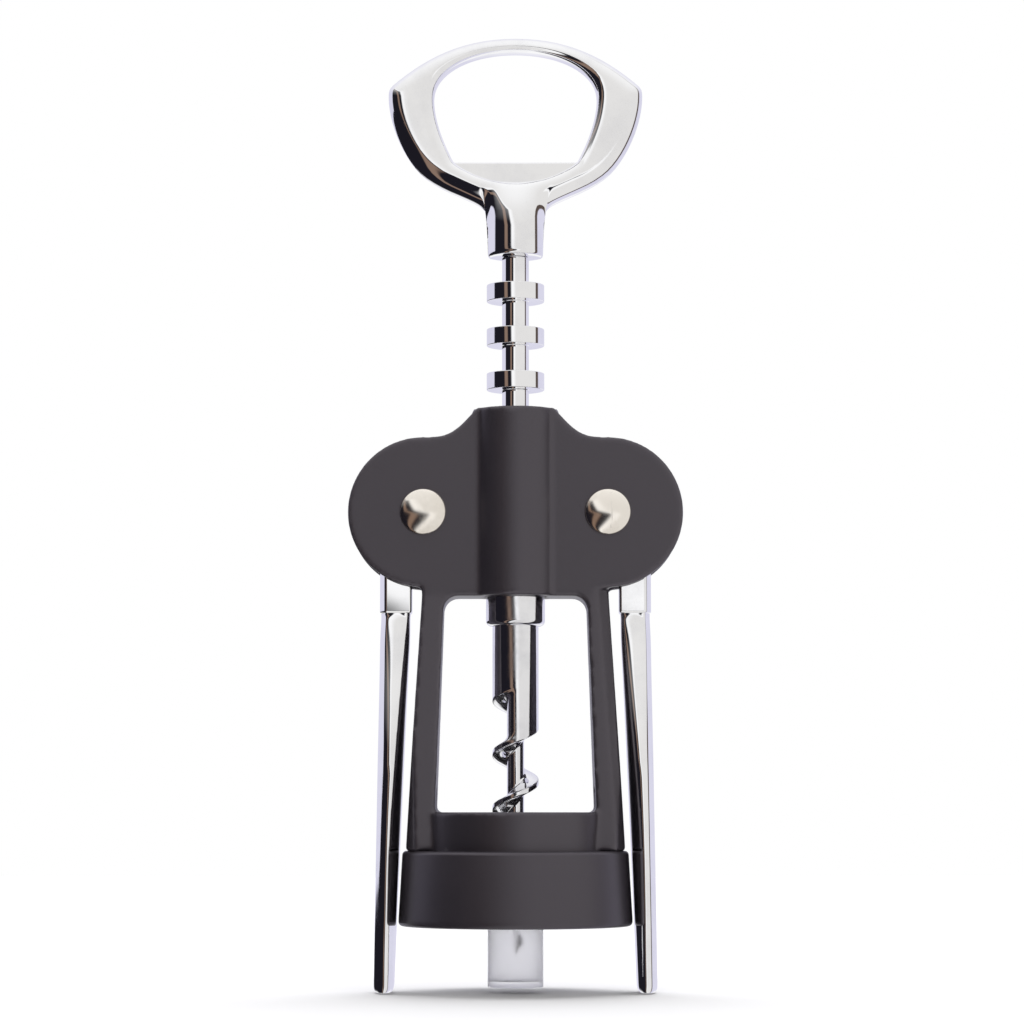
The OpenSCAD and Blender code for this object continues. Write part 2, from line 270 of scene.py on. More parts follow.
def mixColours(tree, factor, first, second):
    node = addNode(tree, "ShaderNodeMix", data_type="RGBA")
    tree.links.new(factor, node.inputs[0])
    for socket, value in ((node.inputs[6], first), (node.inputs[7], second)):
        if isinstance(value, tuple):
            socket.default_value = (*value, 1)
        else:
            tree.links.new(value, socket)
    return node.outputs[2]


# ---- camera, studio and floor ----

camera = {
    "distance": 0.631,      # metres from the spindle's axis
    "height": 0.02166,      # level with the top of the bell
    "sideways": -0.0007,
    "tilt": 5.5,            # degrees, upwards
    "lens": 111,
}

studio = {
    "white": (1.0, 1.0, 1.0),
    "cream": (0.80, 0.79, 0.775),
    "lilac": (0.72, 0.71, 0.84),
    "brown": (0.25, 0.17, 0.13),
    "edge": (0.10, 0.075, 0.065),
    "black": (0.012, 0.011, 0.016),
    "rise above": 4.2,      # how fast the dark cards fall back just above the camera's height
    "slow rise": 0.9,       # then slowly, from a turn of so many degrees
    "slow from": 16,
    "far rise": 3.5,        # and fast again high up
    "far from": -49,
    "rise below": 0.8,
    "rise end": 54,         # degrees; the rise carries the cards no further
    "low shift": 66,        # how much further round the dark cards reach below the camera
    "strength": 1.0,
    "sun": 1.6,
    "sun spread": 60,       # degrees
}


def makeCamera(c):
    bpy.ops.object.camera_add(location=(c["sideways"], -c["distance"], c["height"]),
                              rotation=(math.radians(90 + c["tilt"]), 0, 0))
    cam = bpy.context.object
    cam.data.lens = c["lens"]
    cam.data.clip_start = 0.01
    bpy.context.scene.camera = cam


def makeStudio(s):
    # soft boxes and dark cards painted on the world, by their turn and their height
    world = bpy.data.worlds.new("studio")
    bpy.context.scene.world = world
    world.use_nodes = True
    tree = world.node_tree
    tree.nodes.clear()
    where = addNode(tree, "ShaderNodeTexCoord")
    split = addNode(tree, "ShaderNodeSeparateXYZ")
    tree.links.new(where.outputs["Generated"], split.inputs[0])
    x, y, z = split.outputs
    degree = 180 / math.pi
    forward = mathNode(tree, "MULTIPLY", y, -1)
    turn = mathNode(tree, "MULTIPLY", mathNode(tree, "ARCTAN2", x, forward), degree)
    height = mathNode(tree, "MULTIPLY", mathNode(tree, "ARCSINE", z), degree)
    # the dark cards on the left close to a point that lies just right of the camera
    level = mathNode(tree, "ADD", height, -1)
    rise = mathNode(tree, "MINIMUM", mathNode(tree, "MULTIPLY", level, s["rise above"]),
                    mathNode(tree, "MULTIPLY_ADD", height, s["slow rise"], s["slow from"]))
    far = mathNode(tree, "MULTIPLY_ADD", height, s["far rise"], s["far from"])
    rise = mathNode(tree, "MAXIMUM", rise, far)
    rise = mathNode(tree, "MAXIMUM", rise, mathNode(tree, "MULTIPLY", level, -s["rise below"]))
    wedge = mathNode(tree, "ADD", rise, turn)
    cards = mathNode(tree, "MAXIMUM", turn, mathNode(tree, "MINIMUM", wedge, s["rise end"]))

    def at(degrees):
        return 0.5 + degrees / 360
    along = mathNode(tree, "MULTIPLY_ADD", cards, 1 / 360, 0.5)
    sides = rampNode(tree, along, [
        (at(-180), s["black"]), (at(-22), s["black"]), (at(-19), s["brown"]), (at(-9), s["brown"]),
        (at(-6), s["black"]), (at(5), s["black"]), (at(10), s["white"]), (at(16), s["white"]),
        (at(26), s["cream"]), (at(88), s["cream"]), (at(90), s["edge"]), (at(101), s["edge"]),
        (at(105), s["lilac"]), (at(180), s["lilac"])])
    # below the camera's height they reach further round to the back
    low = rampNode(tree, mathNode(tree, "MULTIPLY_ADD", height, -1 / 8, 0.5), [(0.2, 0.0), (0.8, 1.0)])
    around = mathNode(tree, "MULTIPLY_ADD", low, s["low shift"], turn)
    around = mathNode(tree, "MULTIPLY_ADD", around, 1 / 360, 0.5)
    left = rampNode(tree, around, [(at(-96), 1.0), (at(-92), 0.0)])
    room = mixColours(tree, left, sides, s["lilac"])
    # and the room is plain white behind and below
    behind = mathNode(tree, "MULTIPLY", mathNode(tree, "ABSOLUTE", turn), 1 / 180)
    behind = rampNode(tree, behind, [(0.80, 0.0), (0.88, 1.0)])
    under = rampNode(tree, mathNode(tree, "MULTIPLY", height, -1 / 90), [(0.10, 0.0), (0.18, 1.0)])
    room = mixColours(tree, mathNode(tree, "MULTIPLY", behind, under), room, s["white"])
    up = mathNode(tree, "MULTIPLY", height, 1 / 90)
    room = mixColours(tree, rampNode(tree, up, [(0.15, 0.0), (0.85, 1.0)]), room, s["white"])
    lit = addNode(tree, "ShaderNodeBackground")
    lit.inputs["Strength"].default_value = s["strength"]
    tree.links.new(room, lit.inputs["Color"])
    plain = addNode(tree, "ShaderNodeBackground")
    plain.inputs["Color"].default_value = (1, 1, 1, 1)
    path = addNode(tree, "ShaderNodeLightPath")
    pick = addNode(tree, "ShaderNodeMixShader")
    out = addNode(tree, "ShaderNodeOutputWorld")
    tree.links.new(path.outputs["Is Camera Ray"], pick.inputs[0])
    tree.links.new(lit.outputs[0], pick.inputs[1])
    tree.links.new(plain.outputs[0], pick.inputs[2])
    tree.links.new(pick.outputs[0], out.inputs["Surface"])


def makeSun(s):
    aim = Vector((-0.05, -0.4, -1.0))
    bpy.ops.object.light_add(type="SUN", rotation=aim.to_track_quat("-Z", "Y").to_euler())
    sun = bpy.context.object
    sun.data.energy = s["sun"]
    sun.data.angle = math.radians(s["sun spread"])
    sun.visible_glossy = False


def makeFloor():
    bpy.ops.mesh.primitive_plane_add(size=2.4, location=(0, 0, cadLow.z - 0.0002))
    floor = bpy.context.object
    floor.name = "floor"
    paper = bpy.data.materials.new("floor paper")
    paper.use_nodes = True
    shader = paper.node_tree.nodes["Principled BSDF"]
    shader.inputs["Base Color"].default_value = (0.85, 0.85, 0.85, 1)
    shader.inputs["Roughness"].default_value = 0.9
    shader.inputs["Specular IOR Level"].default_value = 0
    floor.data.materials.append(paper)
    floor.visible_glossy = False    # polished pieces reflect the studio instead


makeCamera(camera)
makeStudio(studio)
makeSun(studio)
makeFloor()
bpy.context.scene.view_settings.view_transform = "Standard"
print("studio ready")


# ---- finishes ----

def startGroup(name, ins, outs):
    group = bpy.data.node_groups.new(name, "ShaderNodeTree")
    for title, value in ins.items():
        socket = group.interface.new_socket(title, in_out="INPUT", socket_type="NodeSocketFloat")
        socket.default_value = value
    for title in outs:
        group.interface.new_socket(title, in_out="OUTPUT", socket_type="NodeSocketFloat")
    start = addNode(group, "NodeGroupInput", (-900, 0))
    end = addNode(group, "NodeGroupOutput", (900, 0))
    return group, start, end


def noiseNode(tree, coords, scale, detail, roughness):
    node = addNode(tree, "ShaderNodeTexNoise")
    tree.links.new(coords, node.inputs["Vector"])
    node.inputs["Detail"].default_value = detail
    node.inputs["Roughness"].default_value = roughness
    tree.links.new(scale, node.inputs["Scale"])
    return node.outputs["Fac"]


def makeGrainGroup():
    # fine moulded grain, with slow changes of tone and the rub that edges get
    group, start, end = startGroup("mould grain", {"Grain Scale": 2500.0, "Tone Scale": 60.0},
                                   ["Grain", "Tone", "Rub"])
    where = addNode(group, "ShaderNodeTexCoord").outputs["Object"]
    fine = noiseNode(group, where, start.outputs["Grain Scale"], 3.0, 0.6)
    cells = addNode(group, "ShaderNodeTexVoronoi", feature="SMOOTH_F1")
    group.links.new(where, cells.inputs["Vector"])
    group.links.new(start.outputs["Grain Scale"], cells.inputs["Scale"])
    both = mathNode(group, "MULTIPLY_ADD", cells.outputs["Distance"], 0.5, fine)
    tone = noiseNode(group, where, start.outputs["Tone Scale"], 4.0, 0.6)
    edges = addNode(group, "ShaderNodeNewGeometry").outputs["Pointiness"]
    rub = rampNode(group, edges, [(0.515, 0.0), (0.56, 1.0)])
    patchy = mathNode(group, "MULTIPLY", rub, tone)
    group.links.new(both, end.inputs["Grain"])
    group.links.new(tone, end.inputs["Tone"])
    group.links.new(patchy, end.inputs["Rub"])
    return group


def makePolishGroup():
    # plated metal: slow smudges, hair-fine scratches and the slight waviness of a cast part
    group, start, end = startGroup("polish marks", {"Smudge Scale": 90.0, "Scratch Scale": 900.0,
                                                    "Wave Scale": 160.0},
                                   ["Smudge", "Scratch", "Wave"])
    where = addNode(group, "ShaderNodeTexCoord").outputs["Object"]
    smudge = rampNode(group, noiseNode(group, where, start.outputs["Smudge Scale"], 5.0, 0.65),
                      [(0.45, 0.0), (0.72, 1.0)])
    stretch = addNode(group, "ShaderNodeMapping")
    stretch.inputs["Scale"].default_value = (1.0, 1.0, 0.06)
    stretch.inputs["Rotation"].default_value = (0.12, 0.2, 0.0)
    group.links.new(where, stretch.inputs["Vector"])
    hair = noiseNode(group, stretch.outputs[0], start.outputs["Scratch Scale"], 2.0, 0.5)
    scratch = rampNode(group, hair, [(0.66, 0.0), (0.72, 1.0)])
    wave = noiseNode(group, where, start.outputs["Wave Scale"], 1.0, 0.4)
    group.links.new(smudge, end.inputs["Smudge"])
    group.links.new(scratch, end.inputs["Scratch"])
    group.links.new(wave, end.inputs["Wave"])
    return group


def startMaterial(name):
    material = bpy.data.materials.new(name)
    material.use_nodes = True
    return material, material.node_tree, material.node_tree.nodes["Principled BSDF"]


def addBump(tree, shader, height, strength, distance):
    bump = addNode(tree, "ShaderNodeBump", (-300, -300))
    bump.inputs["Strength"].default_value = strength
    bump.inputs["Distance"].default_value = distance * mm
    tree.links.new(height, bump.inputs["Height"])
    tree.links.new(bump.outputs[0], shader.inputs["Normal"])


def usesGroup(tree, group, **values):
    node = addNode(tree, "ShaderNodeGroup", (-900, 0))
    node.node_tree = group
    for key, value in values.items():
        node.inputs[key.replace("_", " ")].default_value = value
    return node


satin = {
    "satin_black": {"dark": (0.020, 0.017, 0.022), "light": (0.026, 0.022, 0.028),
                    "rub": (0.07, 0.064, 0.074),
                    "matt": 0.36, "sheen": 1.0, "grain": 2600.0, "bump": 0.22},
    "black_moulding": {"dark": (0.018, 0.015, 0.020), "light": (0.024, 0.020, 0.027),
                       "rub": (0.06, 0.055, 0.064),
                       "matt": 0.42, "sheen": 1.0, "grain": 2100.0, "bump": 0.28},
    "liner_plastic": {"dark": (0.012, 0.012, 0.013), "light": (0.02, 0.02, 0.021),
                      "rub": (0.05, 0.05, 0.05),
                      "matt": 0.45, "sheen": 0.5, "grain": 1500.0, "bump": 0.3},
}

plated = {
    "chrome_plate": {"bright": (0.95, 0.95, 0.96), "dull": (0.86, 0.86, 0.88), "gloss": 0.03,
                     "smudged": 0.10, "wave": 0.10, "scratch": 0.05},
    "plated_steel": {"bright": (0.90, 0.90, 0.92), "dull": (0.78, 0.78, 0.81), "gloss": 0.06,
                     "smudged": 0.16, "wave": 0.14, "scratch": 0.12},
    "plain_steel": {"bright": (0.62, 0.62, 0.64), "dull": (0.48, 0.47, 0.47), "gloss": 0.22,
                    "smudged": 0.40, "wave": 0.10, "scratch": 0.4},
    "nickel_plate": {"bright": (0.93, 0.88, 0.81), "dull": (0.80, 0.74, 0.66), "gloss": 0.13,
                     "smudged": 0.26, "wave": 0.12, "scratch": 0.25},
}

milky = {"clear": (0.985, 0.985, 1.0), "cloudy": (1.0, 1.0, 1.0), "frost": 0.4, "through": 0.9}


def makeSatin(name, s):
    material, tree, shader = startMaterial(name)
    grain = usesGroup(tree, grainGroup, Grain_Scale=s["grain"])
    tones = mixColours(tree, grain.outputs["Tone"], s["dark"], s["light"])
    worn = mixColours(tree, grain.outputs["Rub"], tones, s["rub"])
    tree.links.new(worn, shader.inputs["Base Color"])
    shader.inputs["Specular IOR Level"].default_value = s["sheen"]
    shader.inputs["Specular Tint"].default_value = (0.98, 0.91, 1.0, 1)
    dull = mathNode(tree, "MULTIPLY_ADD", grain.outputs["Tone"], 0.12, s["matt"] - 0.06)
    tree.links.new(dull, shader.inputs["Roughness"])
    addBump(tree, shader, grain.outputs["Grain"], s["bump"], 0.02)
    return material


def makePlated(name, p):
    material, tree, shader = startMaterial(name)
    marks = usesGroup(tree, polishGroup)
    tones = mixColours(tree, marks.outputs["Smudge"], p["bright"], p["dull"])
    tree.links.new(tones, shader.inputs["Base Color"])
    shader.inputs["Metallic"].default_value = 1
    spread = p["smudged"] - p["gloss"]
    rough = mathNode(tree, "MULTIPLY_ADD", marks.outputs["Smudge"], spread, p["gloss"])
    rough = mathNode(tree, "MULTIPLY_ADD", marks.outputs["Scratch"], p["scratch"], rough)
    tree.links.new(rough, shader.inputs["Roughness"])
    addBump(tree, shader, marks.outputs["Wave"], p["wave"], 0.05)
    return material


def makeMilky(name, m):
    material, tree, shader = startMaterial(name)
    grain = usesGroup(tree, grainGroup, Grain_Scale=1200.0, Tone_Scale=220.0)
    tree.links.new(mixColours(tree, grain.outputs["Tone"], m["clear"], m["cloudy"]),
                   shader.inputs["Base Color"])
    rough = mathNode(tree, "MULTIPLY_ADD", grain.outputs["Tone"], 0.2, m["frost"] - 0.1)
    tree.links.new(rough, shader.inputs["Roughness"])
    shader.inputs["Transmission Weight"].default_value = m["through"]
    shader.inputs["IOR"].default_value = 1.25
    addBump(tree, shader, grain.outputs["Grain"], 0.2, 0.02)
    return material


grainGroup = makeGrainGroup()
polishGroup = makePolishGroup()
finishes = {name: makeSatin(name, s) for name, s in satin.items()}
finishes.update({name: makePlated(name, p) for name, p in plated.items()})
finishes["milky_plastic"] = makeMilky("milky_plastic", milky)
print("finishes ready")


# ---- frame: one casting with two lobes, a barrel, two legs and the bell's ring ----

casting = {
    "voxel": 0.42,
    "smoothing": 6,
    "leg slope": 2.2,       # width of the slope round the window, along the legs
    "top slope": 1.0,       # the same along the window's top
    "lean": 50,             # degrees from the front face
    "corner": 2.6,
    "outer slope": 2.0,
    "outer lean": 0.9,      # its depth, as a share of its width
    "clear": 0.1,           # left round the barrel and the ring
}


def addSlope(start, end, across, thick):
    # a block with one face through start and end, as wide as across, lying outside that face
    start, end, across = Vector(start), Vector(end), Vector(across)
    along = end - start
    out = across.cross(along).normalized()
    if out.y * start.y < 0:
        out = -out
    across = across.normalized()
    along = along.normalized()
    width, length = 4 * thick, 1.1 * (end - start).length
    block = addBlock("slope", (width, thick, length))
    turn = Matrix((across, out, along)).transposed().to_4x4()
    block.matrix_world = Matrix.Translation(((start + end) / 2 + out * thick / 2) * mm) @ turn
    only(block)
    bpy.ops.object.transform_apply(location=True, rotation=True, scale=True)
    return block


def outerSlopes(c):
    # the slopes on the legs' outer corners, front and back, left and right
    outer = c["outer slope"]
    for x in (-1, 1):
        for y in (-1, 1):
            rim = (x * (pivotX + 0.2 - outer), y * plateHalf, headZ - 1)
            heel = (x * (legOuterFoot - outer), y * footHalf, legFootZ)
            yield addSlope(rim, heel, (x * outer, -y * outer * c["outer lean"], 0), 3)


def windowSlope(c, side):
    # the slope round the window, in front (side -1) or behind, kept off the barrel and the ring
    wide, tall, r = c["leg slope"], c["top slope"], c["corner"]
    sink = math.tan(math.radians(c["lean"]))
    half = [(barrelR, headZ, 0.0, 1.0)]
    for angle in range(90, -1, -9):
        ax, az = math.cos(math.radians(angle)), math.sin(math.radians(angle))
        half.append((windowTopX - r + r * ax, headZ - r + r * az, ax, az))
    half.append((windowFootX, legFootZ - 0.5, 1.0, 0.0))
    loop = half + [(-x, z, -ax, az) for x, z, ax, az in reversed(half)]

    def place(u, v):
        x, z, ax, az = loop[round(u * len(loop)) % len(loop)]
        front = mix(plateHalf, footHalf, (headZ - z) / (headZ - legFootZ))
        depth = sink * (abs(ax) * wide + abs(az) * tall)
        return (x + 2 * v * ax * wide, side * (front + depth * (2 * v - 1)), z + 2 * v * az * tall)
    cutter = rollGrid("slope", len(loop), 1, place)
    for radius, low, high in ((barrelR, headZ - 4, headZ + 10), (ringR, legFootZ - 4, ringTopZ)):
        bpy.ops.mesh.primitive_cylinder_add(vertices=96, radius=(radius + c["clear"]) * mm,
                                            depth=(high - low) * mm, location=(0, 0, (low + high) / 2 * mm))
        cutWith(cutter, bpy.context.object)
    return cutter


rivetLow, rivetHigh = boxOf("right_rivet")
skirtHigh = boxOf("bell_skirt")[1]
leverLow = boxOf("right_lever")[0]
pivotX = (rivetLow.x + rivetHigh.x) / 2
pivotZ = (rivetLow.z + rivetHigh.z) / 2
plateHalf = 5.2         # half of the head's depth
footHalf = 10.5         # half of a leg's foot, front to back
headZ = 65.2            # the head's underside
barrelR = 8.8
ringR = 19.0
ringTopZ = 22.4
legInset = 1.55         # of a leg's outer foot from the skirt's side
windowInset = 4.2       # of the window's top corner from the pivot
windowFootX = 16.1
legOuterFoot = skirtHigh.x - legInset
legFootZ = skirtHigh.z
windowTopX = pivotX - windowInset


def makeFrame(c):
    piece = copyOfNode("frame_casting", "frame_body")
    for slope in list(outerSlopes(c)) + [windowSlope(c, -1), windowSlope(c, 1)]:
        cutWith(piece, slope)
    modify(piece, "REMESH", mode="VOXEL", voxel_size=c["voxel"] * mm)
    modify(piece, "SMOOTH", factor=0.5, iterations=c["smoothing"])
    finishPiece(piece, "frame_casting", "frame", "satin_black", 60)


makeFrame(casting)


# ---- bell: skirt ----

skirt = {"mouth round": 0.8, "mouth band": 1.5, "slope": 0.75, "ring wall": 2.0, "seat": 3, "clear": 0.02}


def makeSkirt(s):
    outer = skirtHigh.x
    inner = ringR - s["ring wall"] + s["clear"]
    top = skirtHigh.z
    profile = [(inner, 0), (outer, 0), (outer, s["mouth band"]), (outer - s["slope"], top),
               (ringR, top), (ringR, s["seat"]), (inner, s["seat"])]
    piece = spinProfile("skirt", profile, 128, closed=True)
    roundEdges(piece, s["mouth round"], 4, 50)
    finishPiece(piece, "bell_skirt", "frame", "black_moulding", 40)


makeSkirt(skirt)


# ---- rack: rings along a core ----

rack = {"pitch": 9.0, "ring": 3.4, "first ring": 72.7, "rings": 7, "round": 1.0, "core": 2.7, "bore": 1.8}
rackLow, rackHigh = boxOf("rack_sleeve")


def makeRack(r):
    core = r["core"]
    rim = rackHigh.x
    half = r["ring"] / 2
    profile = [(r["bore"], rackLow.z), (rim - 1, rackLow.z), (core, rackLow.z + 0.5)]
    for i in range(r["rings"]):
        z = r["first ring"] + r["pitch"] * i
        profile += [(core, z - half), (rim, z - half), (rim, z + half), (core, z + half)]
    profile += [(core, rackHigh.z), (r["bore"], rackHigh.z)]
    piece = spinProfile("ringed_rack", profile, 80, closed=True)
    roundEdges(piece, r["round"], 4, 50)
    finishPiece(piece, "rack_sleeve", "rack", "chrome_plate", 50)


makeRack(rack)


# ---- spindle: collar, and worm cut from one rod ----

collar = {"foot round": 1.1, "bore": 1.8}
collarLow, collarHigh = boxOf("worm_collar")


def makeCollar(c):
    rim = collarHigh.x
    profile = [(c["bore"], collarLow.z), (rim, collarLow.z), (rim, collarHigh.z), (c["bore"], collarHigh.z)]
    piece = spinProfile("collar", profile, 80, closed=True)
    roundEdges(piece, c["foot round"], 5, 50)
    finishPiece(piece, "worm_collar", "spindle", "plated_steel", 50)


makeCollar(collar)

worm = {
    "pitch": 10.9,
    "core": 1.7,
    "rim": 4.6,
    "left crest": 23.04,    # a height at which the flight's crest is on the left
    "land": 0.05,           # half of the crest's width, as a share of the pitch
    "flank": 0.17,          # where the flank meets the core, as a share of the pitch
    "run out": 268,         # turn at which the first flute ends, in degrees from +X
    "run length": 60,
    "flank bend": 1.6,
    "taper": 12.0,          # length of the point
    "point bend": 0.8,
    "around": 72,
    "step": 0.16,
}
wormLow, wormHigh = boxOf("worm")


def wormRadius(w, turn, z):
    phase = (z - w["left crest"]) / w["pitch"] - (turn - 180) / 360
    flute = math.floor(phase)
    off = min(phase - flute, flute + 1 - phase)
    rise = 1 - (off - w["land"]) / (w["flank"] - w["land"])
    depth = 1 - min(1, max(0, rise)) ** w["flank bend"]
    along = turn + 360 * (flute - 1)
    depth *= ease((w["run out"] - along) / w["run length"])
    tip = min(1, max(0.02, (z - wormLow.z) / w["taper"]))
    return mix(w["rim"] * tip ** w["point bend"], w["core"] * tip, depth)


def makeWorm(w):
    rows = round((wormHigh.z - wormLow.z) / w["step"])

    def place(u, v):
        z = mix(wormLow.z, wormHigh.z, v)
        turn = 360 * (1 - u) % 360
        r = wormRadius(w, turn, z)
        return r * math.cos(math.radians(turn)), r * math.sin(math.radians(turn)), z
    piece = rollGrid("screw_worm", w["around"], rows, place)
    finishPiece(piece, "worm", "spindle", "plated_steel", 40)


makeWorm(worm)


# ---- tip guard ----

guard = {"wall": 0.6, "floor": 1.2, "round": 0.24}
guardLow, guardHigh = boxOf("tip_guard")


def makeGuard(g):
    rim = guardHigh.x
    profile = [(0, guardLow.z), (rim, guardLow.z), (rim, guardHigh.z), (rim - g["wall"], guardHigh.z),
               (rim - g["wall"], guardLow.z + g["floor"]), (0, guardLow.z + g["floor"])]
    piece = spinProfile("guard", profile, 72)
    roundEdges(piece, g["round"], 3, 50)
    finishPiece(piece, "tip_guard", "guard", "milky_plastic", 50)


makeGuard(guard)


# ---- handle: a loop with a cap lifter's lip, on a round stem ----

handle = {
    "thickness": 6.0,
    "stem radius": 5.6,
    "outer round": 3.1,
    "inner round": 1.8,
    "foot round": 0.55,
    "flare": 1.9,
    "top band": 3.0,
    "blend": 7.5,           # height over which the stem flows into the loop
    "stem length": 9.2,
    "hole half": 0.64,      # shares of the loop's half width
    "lip half": 0.488,
    "lip height": 0.285,    # share of the loop's height
    "crescent": 3.8,
    "lip thickness": 2.4,
    "lip sunk": 1.2,        # how far the lip's ends go into the loop
    "neck up": 3,           # middle of the neck above the stem's top
    "neck reach": 5,
    "neck half": 13,
    "across": 24,
}
handleLow, handleHigh = boxOf("opener_handle")
stemTopZ = handleLow.z + handle["stem length"]


def stemRadius(h, z):
    up = min(1, (z - handleLow.z) / h["foot round"])
    return h["stem radius"] - h["foot round"] * (1 - math.sqrt(max(0, 1 - (1 - up) ** 2)))


def handleOutlines(h):
    # right halves of the outer outline, stem included, and of the hole, with as many points each
    earX = handleHigh.x
    top = handleHigh.z
    tall = top - stemTopZ
    r = h["stem radius"]
    ear = (earX * 0.975, top - 0.275 * tall)
    side = (earX, top - 0.34 * tall)
    hip = (earX * 0.75, stemTopZ + 0.225 * tall)
    flare = (r + h["flare"], stemTopZ + 0.045 * tall)
    outer = [(0, top)]
    outer += bezier(outer[-1], (earX * 0.43, top), (earX * 0.72, top - 0.117 * tall), ear, 14)
    outer += bezier(ear, (earX, top - 0.295 * tall), (earX, top - 0.31 * tall), side, 5)
    outer += bezier(side, (earX, top - 0.465 * tall), (earX * 0.905, top - 0.66 * tall), hip, 12)
    outer += bezier(hip, (earX * 0.65, stemTopZ + 0.15 * tall), (earX * 0.45, stemTopZ + 0.095 * tall),
                    flare, 7)
    outer += bezier(flare, (r + 0.8, stemTopZ + 0.03 * tall), (r, stemTopZ), (r, stemTopZ - 1.6), 8)
    lifts = [mix(stemTopZ - 1.6 - handleLow.z, h["foot round"], i / 3) for i in range(1, 4)]
    lifts += [h["foot round"] * share for share in (0.45, 0.12, 0)]
    outer += [(stemRadius(h, handleLow.z + lift), handleLow.z + lift) for lift in lifts]
    outer += [(outer[-1][0] * math.cos(math.radians(9 * i)), handleLow.z) for i in range(1, 11)]
    holeX = earX * h["hole half"]
    lipX = earX * h["lip half"]
    holeTop = top - h["top band"]
    lipZ = stemTopZ + h["lip height"] * tall
    wideZ = stemTopZ + 0.65 * tall
    inner = [(0, holeTop)]
    inner += bezier(inner[-1], (holeX * 0.56, holeTop), (holeX, mix(wideZ, holeTop, 0.6)),
                    (holeX, wideZ), 19)
    inner += bezier(inner[-1], (holeX, mix(lipZ, wideZ, 0.6)), (holeX * 0.84, mix(lipZ, wideZ, 0.2)),
                    (lipX, lipZ), 14)
    dip = lipZ - h["crescent"]
    inner += bezier(inner[-1], (lipX * 0.72, lipZ - h["crescent"] * 0.72), (lipX * 0.36, dip),
                    (0, dip), 29)
    return outer, inner


def distanceTo(line, x, z):
    best = 1e9
    for (ax, az), (bx, bz) in zip(line, line[1:]):
        dx, dz = bx - ax, bz - az
        t = ((x - ax) * dx + (z - az) * dz) / max(1e-9, dx * dx + dz * dz)
        t = min(1, max(0, t))
        best = min(best, math.hypot(x - ax - t * dx, z - az - t * dz))
    return best


def handleHalfDepth(h, x, z, fromHole, fromRim):
    # how far the handle's front stands from its middle plane
    t = h["thickness"] / 2
    edge = min(1, fromRim / h["outer round"])
    loop = t * math.sqrt(max(0, 1 - (1 - edge) ** 2))
    rim = min(1, fromHole / h["inner round"])
    loop = min(loop, t - h["inner round"] * 0.9 * (1 - math.sqrt(max(0, 1 - (1 - rim) ** 2))))
    loop *= ease((z - stemTopZ + 3) / 4)
    fade = ease((z - stemTopZ + 0.4) / h["blend"])
    stem = mix(math.sqrt(max(0, stemRadius(h, z) ** 2 - x * x)), loop, fade)
    # smooth union of the two
    soft = 0.9
    gap = max(0, soft - abs(loop - stem)) / soft
    return max(loop, stem) + gap * gap * soft * 0.25 * (1 - fade) * ease(min(loop, stem) / 1.5)


def makeHandle(h):
    outer, inner = handleOutlines(h)
    count = len(outer) - 1
    half = h["across"]
    known = {}

    def frontPoint(index, place):
        # closer together at both edges
        s = 0.5 - 0.5 * math.cos(math.pi * place / half)
        x, z = (mix(a, b, s) for a, b in zip(inner[index], outer[index]))
        return x, handleHalfDepth(h, x, z, distanceTo(inner, x, z), distanceTo(outer, x, z)), z

    def place(u, v):
        # v runs once round the loop, u once round its section: out along the front, back behind
        station = round(v * 2 * count)
        index = min(station, 2 * count - station)
        step = round(u * 2 * half) % (2 * half)
        key = index, min(step, 2 * half - step)
        if key not in known:
            known[key] = frontPoint(*key)
        x, y, z = known[key]
        return (x if station <= count else -x), (-y if step <= half else y), z
    piece = rollGrid("handle", 2 * half, 2 * count, place)
    modify(piece, "SMOOTH", factor=0.5, iterations=3)
    # the neck, where the stem runs into the loop, is smoothed more
    near = [vertex.index for vertex in piece.data.vertices
            if abs(vertex.co.z / mm - stemTopZ - h["neck up"]) < h["neck reach"]
            and abs(vertex.co.x / mm) < h["neck half"]]
    piece.vertex_groups.new(name="neck").add(near, 1.0, "REPLACE")
    modify(piece, "SMOOTH", factor=0.5, iterations=14, vertex_group="neck")
    piece.vertex_groups.clear()
    # lip across the bottom of the hole
    tall = handleHigh.z - stemTopZ
    lipZ = stemTopZ + h["lip height"] * tall
    lipX = handleHigh.x * h["lip half"] + h["lip sunk"]
    t = h["lip thickness"] / 2
    under = lipZ - h["crescent"] - 2.2
    arc = bezier((lipX, lipZ), (lipX, lipZ - 3), (5, under), (0, under), 10)
    line = [(lipX, lipZ)] + arc + [(-x, z) for x, z in reversed(arc[:-1])] + [(-lipX, lipZ)]
    lip = drawLine("lip", [(x, -t, z) for x, z in line], fill=True)
    editAll(lip)
    bpy.ops.mesh.extrude_region_move(TRANSFORM_OT_translate={"value": (0, 2 * t * mm, 0)})
    bpy.ops.object.mode_set(mode="OBJECT")
    closeUp(lip)
    roundEdges(lip, 0.35, 3, 40)
    joinTo(piece, lip)
    finishPiece(piece, "opener_handle", "spindle", "chrome_plate", 50)


makeHandle(handle)


# ---- levers: a geared hub between the plates, and a blade with a thin front edge ----

arm = {
    "block": (6.4, 5.6),    # across and deep
    "block round": 0.5,
    "block foot": 61.9,
    "block top": 71.0,
    "inner top": pivotX + 2.3,
    "inner tip": 24.1,
    "thick tip": 3.9,
    "waist": 0.25,          # how far the blade steps in below the block
    "blade half": 7.5,
    "front top": (2.2, 2.2),    # widths of the front on the inner and the outer side of its ridge
    "front tip": (0.8, 1.25),
    "crown": 0.55,          # how far the front falls away from its ridge, as a share of those widths
    "facet": 1.0,
    "facet depth": 2.5,
}


